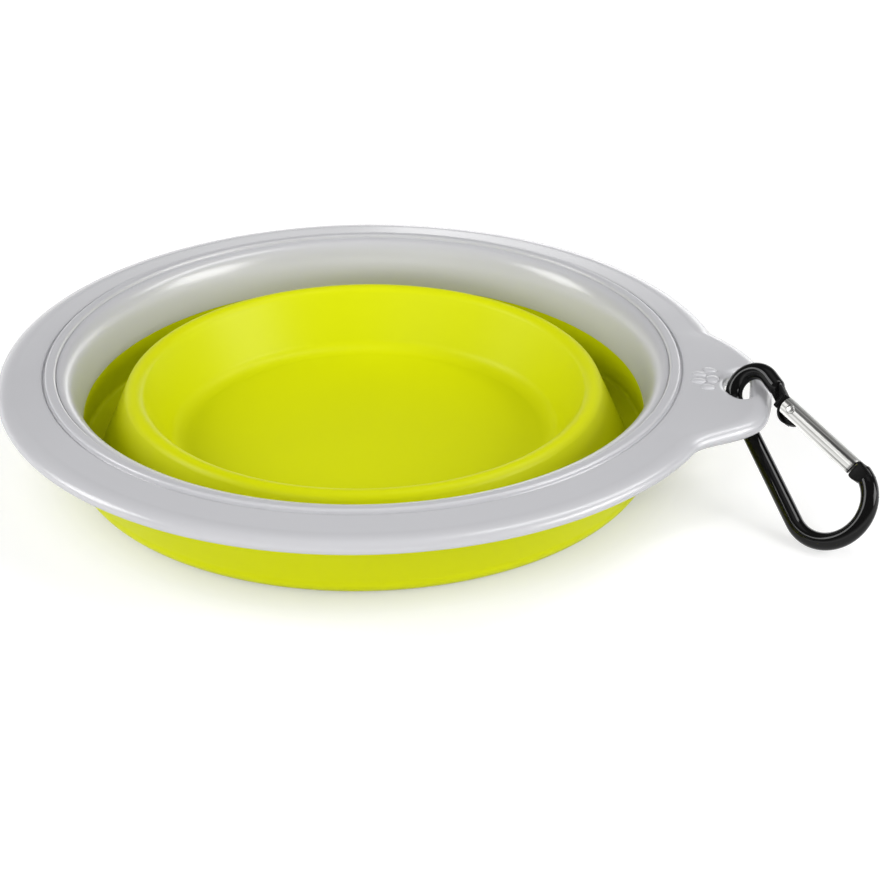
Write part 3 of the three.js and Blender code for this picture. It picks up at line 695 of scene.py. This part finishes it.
# gate: folded sheet, its section carried along; the cheeks' lower edge is round about the rivet at the tail,
# so the section's points on the cheeks are left unset and follow that edge
def channelGrid():
    width, depth, bend, sheet = gate["width"] / 2, gate["depth"] / 2, gate["bend"], gate["sheet"]
    runSteps, steps = gate["alongSteps"], gate["roundSteps"]
    tailTurn = np.radians(np.linspace(180, 180 + np.degrees(np.arcsin(width / gate["tail"])), gate["tailSteps"]))
    tailAlong, tailEdge = gate["tail"] * np.cos(tailTurn), gate["tail"] * np.sin(tailTurn)
    along = np.concatenate([tailAlong, np.linspace(tailAlong[-1], gateEnd, runSteps + 1)[1:]])
    edge = np.concatenate([tailEdge, np.full(runSteps, -width)])
    corner = width - bend
    cheek, unset = np.linspace(0, 1, steps), np.full(steps, np.nan)
    outerRound = arcPoints((corner, -depth + bend), (bend, bend), -90, 0, steps)
    innerRound = arcPoints((corner, -depth + bend), (bend - sheet, bend - sheet), 0, -90, steps)
    outerHalf = np.concatenate([np.column_stack([unset, np.full(steps, -depth)]), outerRound[1:]])
    innerHalf = np.concatenate([innerRound[:-1], np.column_stack([unset, np.full(steps, sheet - depth)])])
    outline = np.concatenate([outerHalf, (outerHalf * [1, -1])[::-1], (innerHalf * [1, -1])[::-1], innerHalf])
    share = np.full(len(outline), 1.0)
    onCheek = np.isnan(outline[:, 0])
    share[onCheek] = np.concatenate([cheek, cheek[::-1], cheek, cheek[::-1]])
    fixed = np.where(onCheek, corner, outline[:, 0])
    across = np.where(onCheek, edge[:, None] + share * (corner - edge[:, None]), fixed)
    height = np.broadcast_to(outline[:, 1], across.shape)
    return np.stack([np.broadcast_to(along[:, None], across.shape), across, height], axis=2)


# stop inside the channel that the spring pushes on
def stopPlate():
    start = gateEnd - gate["stopFromEnd"]
    end = start + gate["stopLength"]
    high = gate["width"] / 2 - gate["sheet"]
    corner, edge = gate["stopRound"]
    outline = roundedOutline([(start, -high), (end, -high), (end, high), (start, high)], corner)
    return roundedPlate(outline, gate["depth"] - 2 * gate["sheet"], edge)


gateChannel = meshPiece(
    "gateChannel",
    [surface(place(channelGrid(), gateBasis), closedRows=False, capped=True),
     surface(place(stopPlate(), gateBasis), closedRows=False, capped=True)],
    gateMetal,
)
softEdge = gateChannel.modifiers.new("softEdge", "BEVEL")
softEdge.width, softEdge.segments, softEdge.limit_method = gate["softEdge"] * mm, 2, "ANGLE"
settle(gateChannel)
finishPiece(gateChannel, "gate", "carabiner_gate")

# rivet, plunger and spring
pin = {"radius": 0.55, "head": 0.8, "gap": 0.08, "dome": 0.25, "sides": 40}
plunger = {
    "tip": 2.2, "radius": 0.75, "noseRound": 0.3, "head": 1.4, "stem": 2.4, "stemRadius": 0.2, "level": -0.1,
    "sides": 40,
}
spring = {"start": 3.9, "end": 12.75, "radius": 0.575, "wire": 0.125, "turns": 10, "stepsPerTurn": 28, "sides": 12}


# pin with a low dome at each end, turned about its own axis
def rivetProfile():
    seat = gate["depth"] / 2 + pin["gap"]
    dome = arcPoints((0, seat), (pin["head"], pin["dome"]), 0, 90, 10)
    under = np.array([(pin["radius"], seat)])
    return joinRuns((dome * [1, -1])[::-1], under * [1, -1], under, dome)


# round-edged head and its thin stem, from axis to axis
def plungerProfile():
    radius, head, rounded = plunger["radius"], plunger["head"], plunger["noseRound"]
    nose = arcPoints((radius - rounded, rounded), (rounded, rounded), -90, 0, 7)
    stemEnd = head + plunger["stem"]
    stem = [(radius, head), (plunger["stemRadius"], head), (plunger["stemRadius"], stemEnd), (0, stemEnd)]
    return joinRuns([(0, 0)], nose, stem)


# helix: x along, (cos a, sin a) across; the round section stands square to the wire
def springGrid():
    count = spring["turns"] * spring["stepsPerTurn"] + 1
    t = np.linspace(0, 1, count)
    angle = 2 * np.pi * spring["turns"] * t
    length = spring["end"] - spring["start"] - 2 * spring["wire"]
    line = np.stack([
        spring["start"] + spring["wire"] + length * t,
        plunger["level"] + spring["radius"] * np.cos(angle),
        spring["radius"] * np.sin(angle),
    ], axis=1)
    along = np.gradient(line, axis=0)
    along /= np.linalg.norm(along, axis=1)[:, None]
    out = np.stack([np.zeros(count), np.cos(angle), np.sin(angle)], axis=1)
    third = np.cross(along, out)
    turn = evenAngles(spring["sides"])
    ring = np.cos(turn)[None, :, None] * out[:, None] + np.sin(turn)[None, :, None] * third[:, None]
    return line[:, None] + spring["wire"] * ring


rivetGrid = turnProfile(rivetProfile(), evenAngles(pin["sides"]))
rivet = meshPiece("rivet", [surface(place(rivetGrid, gateBasis), closedColumns=False)], pinSteel)
finishPiece(rivet, "carabiner", "gate_rivet")

plungerTip = rivetPoint + plunger["tip"] * gateAlong + plunger["level"] * gateAcross
plungerBasis = (plungerTip, gateAcross, gateOut, gateAlong)
plungerGrid = turnProfile(plungerProfile(), evenAngles(plunger["sides"]))
plungerPin = meshPiece("plungerPin", [surface(place(plungerGrid, plungerBasis), closedColumns=False)], pinSteel)
finishPiece(plungerPin, "plunger", "gate_plunger")

gateSpring = meshPiece("gateSpring", [surface(place(springGrid(), gateBasis), closedRows=False, capped=True)], pinSteel)
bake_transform(gateSpring)
finishPiece(gateSpring, None, "gate_spring")

# studio: white floor that keeps the shadow, with a painted contact shadow where its glow is dimmed round the bowl's
# foot, soft lamps, white background for camera and reflections
studio = {
    "floorRings": (0, 200, 600, 4000), "floorSides": 64, "floorDrop": 0.02, "paper": 0.5, "bounce": 0.8,
    # glow ramps as (span in mm from the axis, strengths): the first dims the floor's glow in a ring round the bowl's
    # foot, a painted contact shadow; the second brightens the far floor to white
    "glowWithPaintedShadow": [((49, 64), (0.32, 0.6)), ((110, 300), (0, 0.4))],
    "ambient": 0.03, "horizon": 1.6, "zenith": 0.15, "fadeFrom": 0.05, "fadeTo": 0.42,
    "lamps": {
        "top": {"place": (435, 270, 785), "size": (160, 600), "power": 2.2},
        "key": {"place": (-300, -680, 560), "size": (600, 500), "power": 3.7, "shine": False},
        "left": {"place": (-720, -80, 500), "size": (320, 420), "power": 3.0},
        "right": {"place": (800, -100, 450), "size": (500, 400), "power": 4.9},
        "low": {"place": (0, -900, 180), "size": (900, 260), "power": 3.2, "shine": False},
        "back": {"place": (250, 900, 110), "size": (900, 160), "power": 0.8},
        "overhead": {"place": (0, 40, 900), "size": (560, 560), "power": 0.5},
    },
    "aim": (10, 0, 8),
}
camera = {
    "place": (63.91, -317.74, 173.83), "turn": 8.969, "dip": 28.21, "lens": 82.32, "sensor": 36, "clip": (0.01, 20),
}


# 1 where either of two switches is
def eitherOf(tree, first, second):
    either = addNode(tree, "ShaderNodeMath", operation="MAXIMUM")
    tree.links.new(first, either.inputs[0])
    tree.links.new(second, either.inputs[1])
    return either.outputs[0]


# value a where the switch is 0 and b where it is 1; a and b are numbers or sockets
def switched(tree, switch, a, b):
    choice = addNode(tree, "ShaderNodeMapRange")
    tree.links.new(switch, choice.inputs["Value"])
    for label, value in (("To Min", a), ("To Max", b)):
        if isinstance(value, (int, float)):
            choice.inputs[label].default_value = value
        else:
            tree.links.new(value, choice.inputs[label])
    return choice.outputs["Result"]


# smooth change over a span of millimetres from the axis
def rampOf(tree, distance, span, values):
    ramp = addNode(tree, "ShaderNodeMapRange", interpolation_type="SMOOTHSTEP")
    setSpan(ramp, "From", (span[0] * mm, span[1] * mm))
    setSpan(ramp, "To", values)
    tree.links.new(distance, ramp.inputs["Value"])
    return ramp.outputs["Result"]


def makeFloor():
    rings = np.array(studio["floorRings"])
    profile = np.stack([rings, np.full(len(rings), -studio["floorDrop"])], axis=1)
    material = bpy.data.materials.new("paleFloor")
    material.use_nodes = True
    tree = material.node_tree
    link = tree.links.new
    tree.nodes.remove(tree.nodes["Principled BSDF"])
    path = addNode(tree, "ShaderNodeLightPath").outputs
    seen = eitherOf(tree, eitherOf(tree, path["Is Camera Ray"], path["Is Glossy Ray"]), path["Is Transmission Ray"])
    paper = addNode(tree, "ShaderNodeBsdfDiffuse")
    link(switched(tree, seen, studio["bounce"], studio["paper"]), paper.inputs["Color"])
    glowWithPaintedShadow = addNode(tree, "ShaderNodeEmission")
    away = addNode(tree, "ShaderNodeVectorMath", operation="LENGTH")
    link(addNode(tree, "ShaderNodeTexCoord").outputs["Object"], away.inputs[0])
    # the first ramp is painted shadow: less glow in a ring round the bowl's foot, standing in for its contact shadow
    paintedFootShadow, far = [rampOf(tree, away.outputs["Value"], *ramp) for ramp in studio["glowWithPaintedShadow"]]
    total = addNode(tree, "ShaderNodeMath", operation="ADD")
    link(paintedFootShadow, total.inputs[0])
    link(far, total.inputs[1])
    link(switched(tree, seen, 0, total.outputs[0]), glowWithPaintedShadow.inputs["Strength"])
    both = addNode(tree, "ShaderNodeAddShader")
    link(paper.outputs[0], both.inputs[0])
    link(glowWithPaintedShadow.outputs[0], both.inputs[1])
    below = addNode(tree, "ShaderNodeMixShader")
    link(addNode(tree, "ShaderNodeNewGeometry").outputs["Backfacing"], below.inputs["Fac"])
    link(both.outputs[0], below.inputs[1])
    link(addNode(tree, "ShaderNodeBsdfTransparent").outputs[0], below.inputs[2])
    link(below.outputs[0], tree.nodes["Material Output"].inputs["Surface"])
    grid = turnProfile(profile, evenAngles(studio["floorSides"]))
    floor = meshPiece("floor", [surface(grid, closedColumns=False)], material)
    if floor.data.polygons[0].normal[2] < 0:
        floor.data.flip_normals()


# white where the camera looks, fading upwards in reflections, and a dim even fill elsewhere
def makeWorld():
    world = bpy.data.worlds.new("studioWorld")
    world.use_nodes = True
    tree = world.node_tree
    link = tree.links.new
    path = addNode(tree, "ShaderNodeLightPath").outputs
    split = addNode(tree, "ShaderNodeSeparateXYZ")
    link(addNode(tree, "ShaderNodeTexCoord").outputs["Generated"], split.inputs[0])
    fade = addNode(tree, "ShaderNodeMapRange", interpolation_type="SMOOTHSTEP")
    setSpan(fade, "From", (studio["fadeFrom"], studio["fadeTo"]))
    setSpan(fade, "To", (studio["horizon"], studio["zenith"]))
    link(split.outputs["Z"], fade.inputs["Value"])
    mirrored = switched(tree, path["Is Glossy Ray"], studio["ambient"], fade.outputs["Result"])
    direct = eitherOf(tree, path["Is Camera Ray"], path["Is Transmission Ray"])
    tree.nodes["Background"].inputs["Color"].default_value = (1, 1, 1, 1)
    link(switched(tree, direct, mirrored, 1), tree.nodes["Background"].inputs["Strength"])
    bpy.context.scene.world = world


def addLamp(name, place, size, power, shine=True):
    lamp = bpy.data.lights.new(name, "AREA")
    lamp.energy = power
    lamp.shape, lamp.size, lamp.size_y = "RECTANGLE", size[0] * mm, size[1] * mm
    holder = bpy.data.objects.new(name, lamp)
    holder.location = Vector(place) * mm
    holder.rotation_euler = (Vector(studio["aim"]) - Vector(place)).to_track_quat("-Z", "Y").to_euler()
    holder.visible_camera, holder.visible_glossy = False, shine
    bpy.context.scene.collection.objects.link(holder)


makeFloor()
makeWorld()
for name, lamp in studio["lamps"].items():
    addLamp(name, **lamp)

viewer = bpy.data.cameras.new("photoCamera")
viewer.lens, viewer.sensor_width = camera["lens"], camera["sensor"]
viewer.clip_start, viewer.clip_end = camera["clip"]
holder = bpy.data.objects.new("photoCamera", viewer)
holder.location = Vector(camera["place"]) * mm
holder.rotation_euler = np.radians((90 - camera["dip"], 0, camera["turn"]))
bpy.context.scene.collection.objects.link(holder)
bpy.context.scene.camera = holder
bpy.context.scene.view_settings.view_transform = "Standard"
print("studio ready")
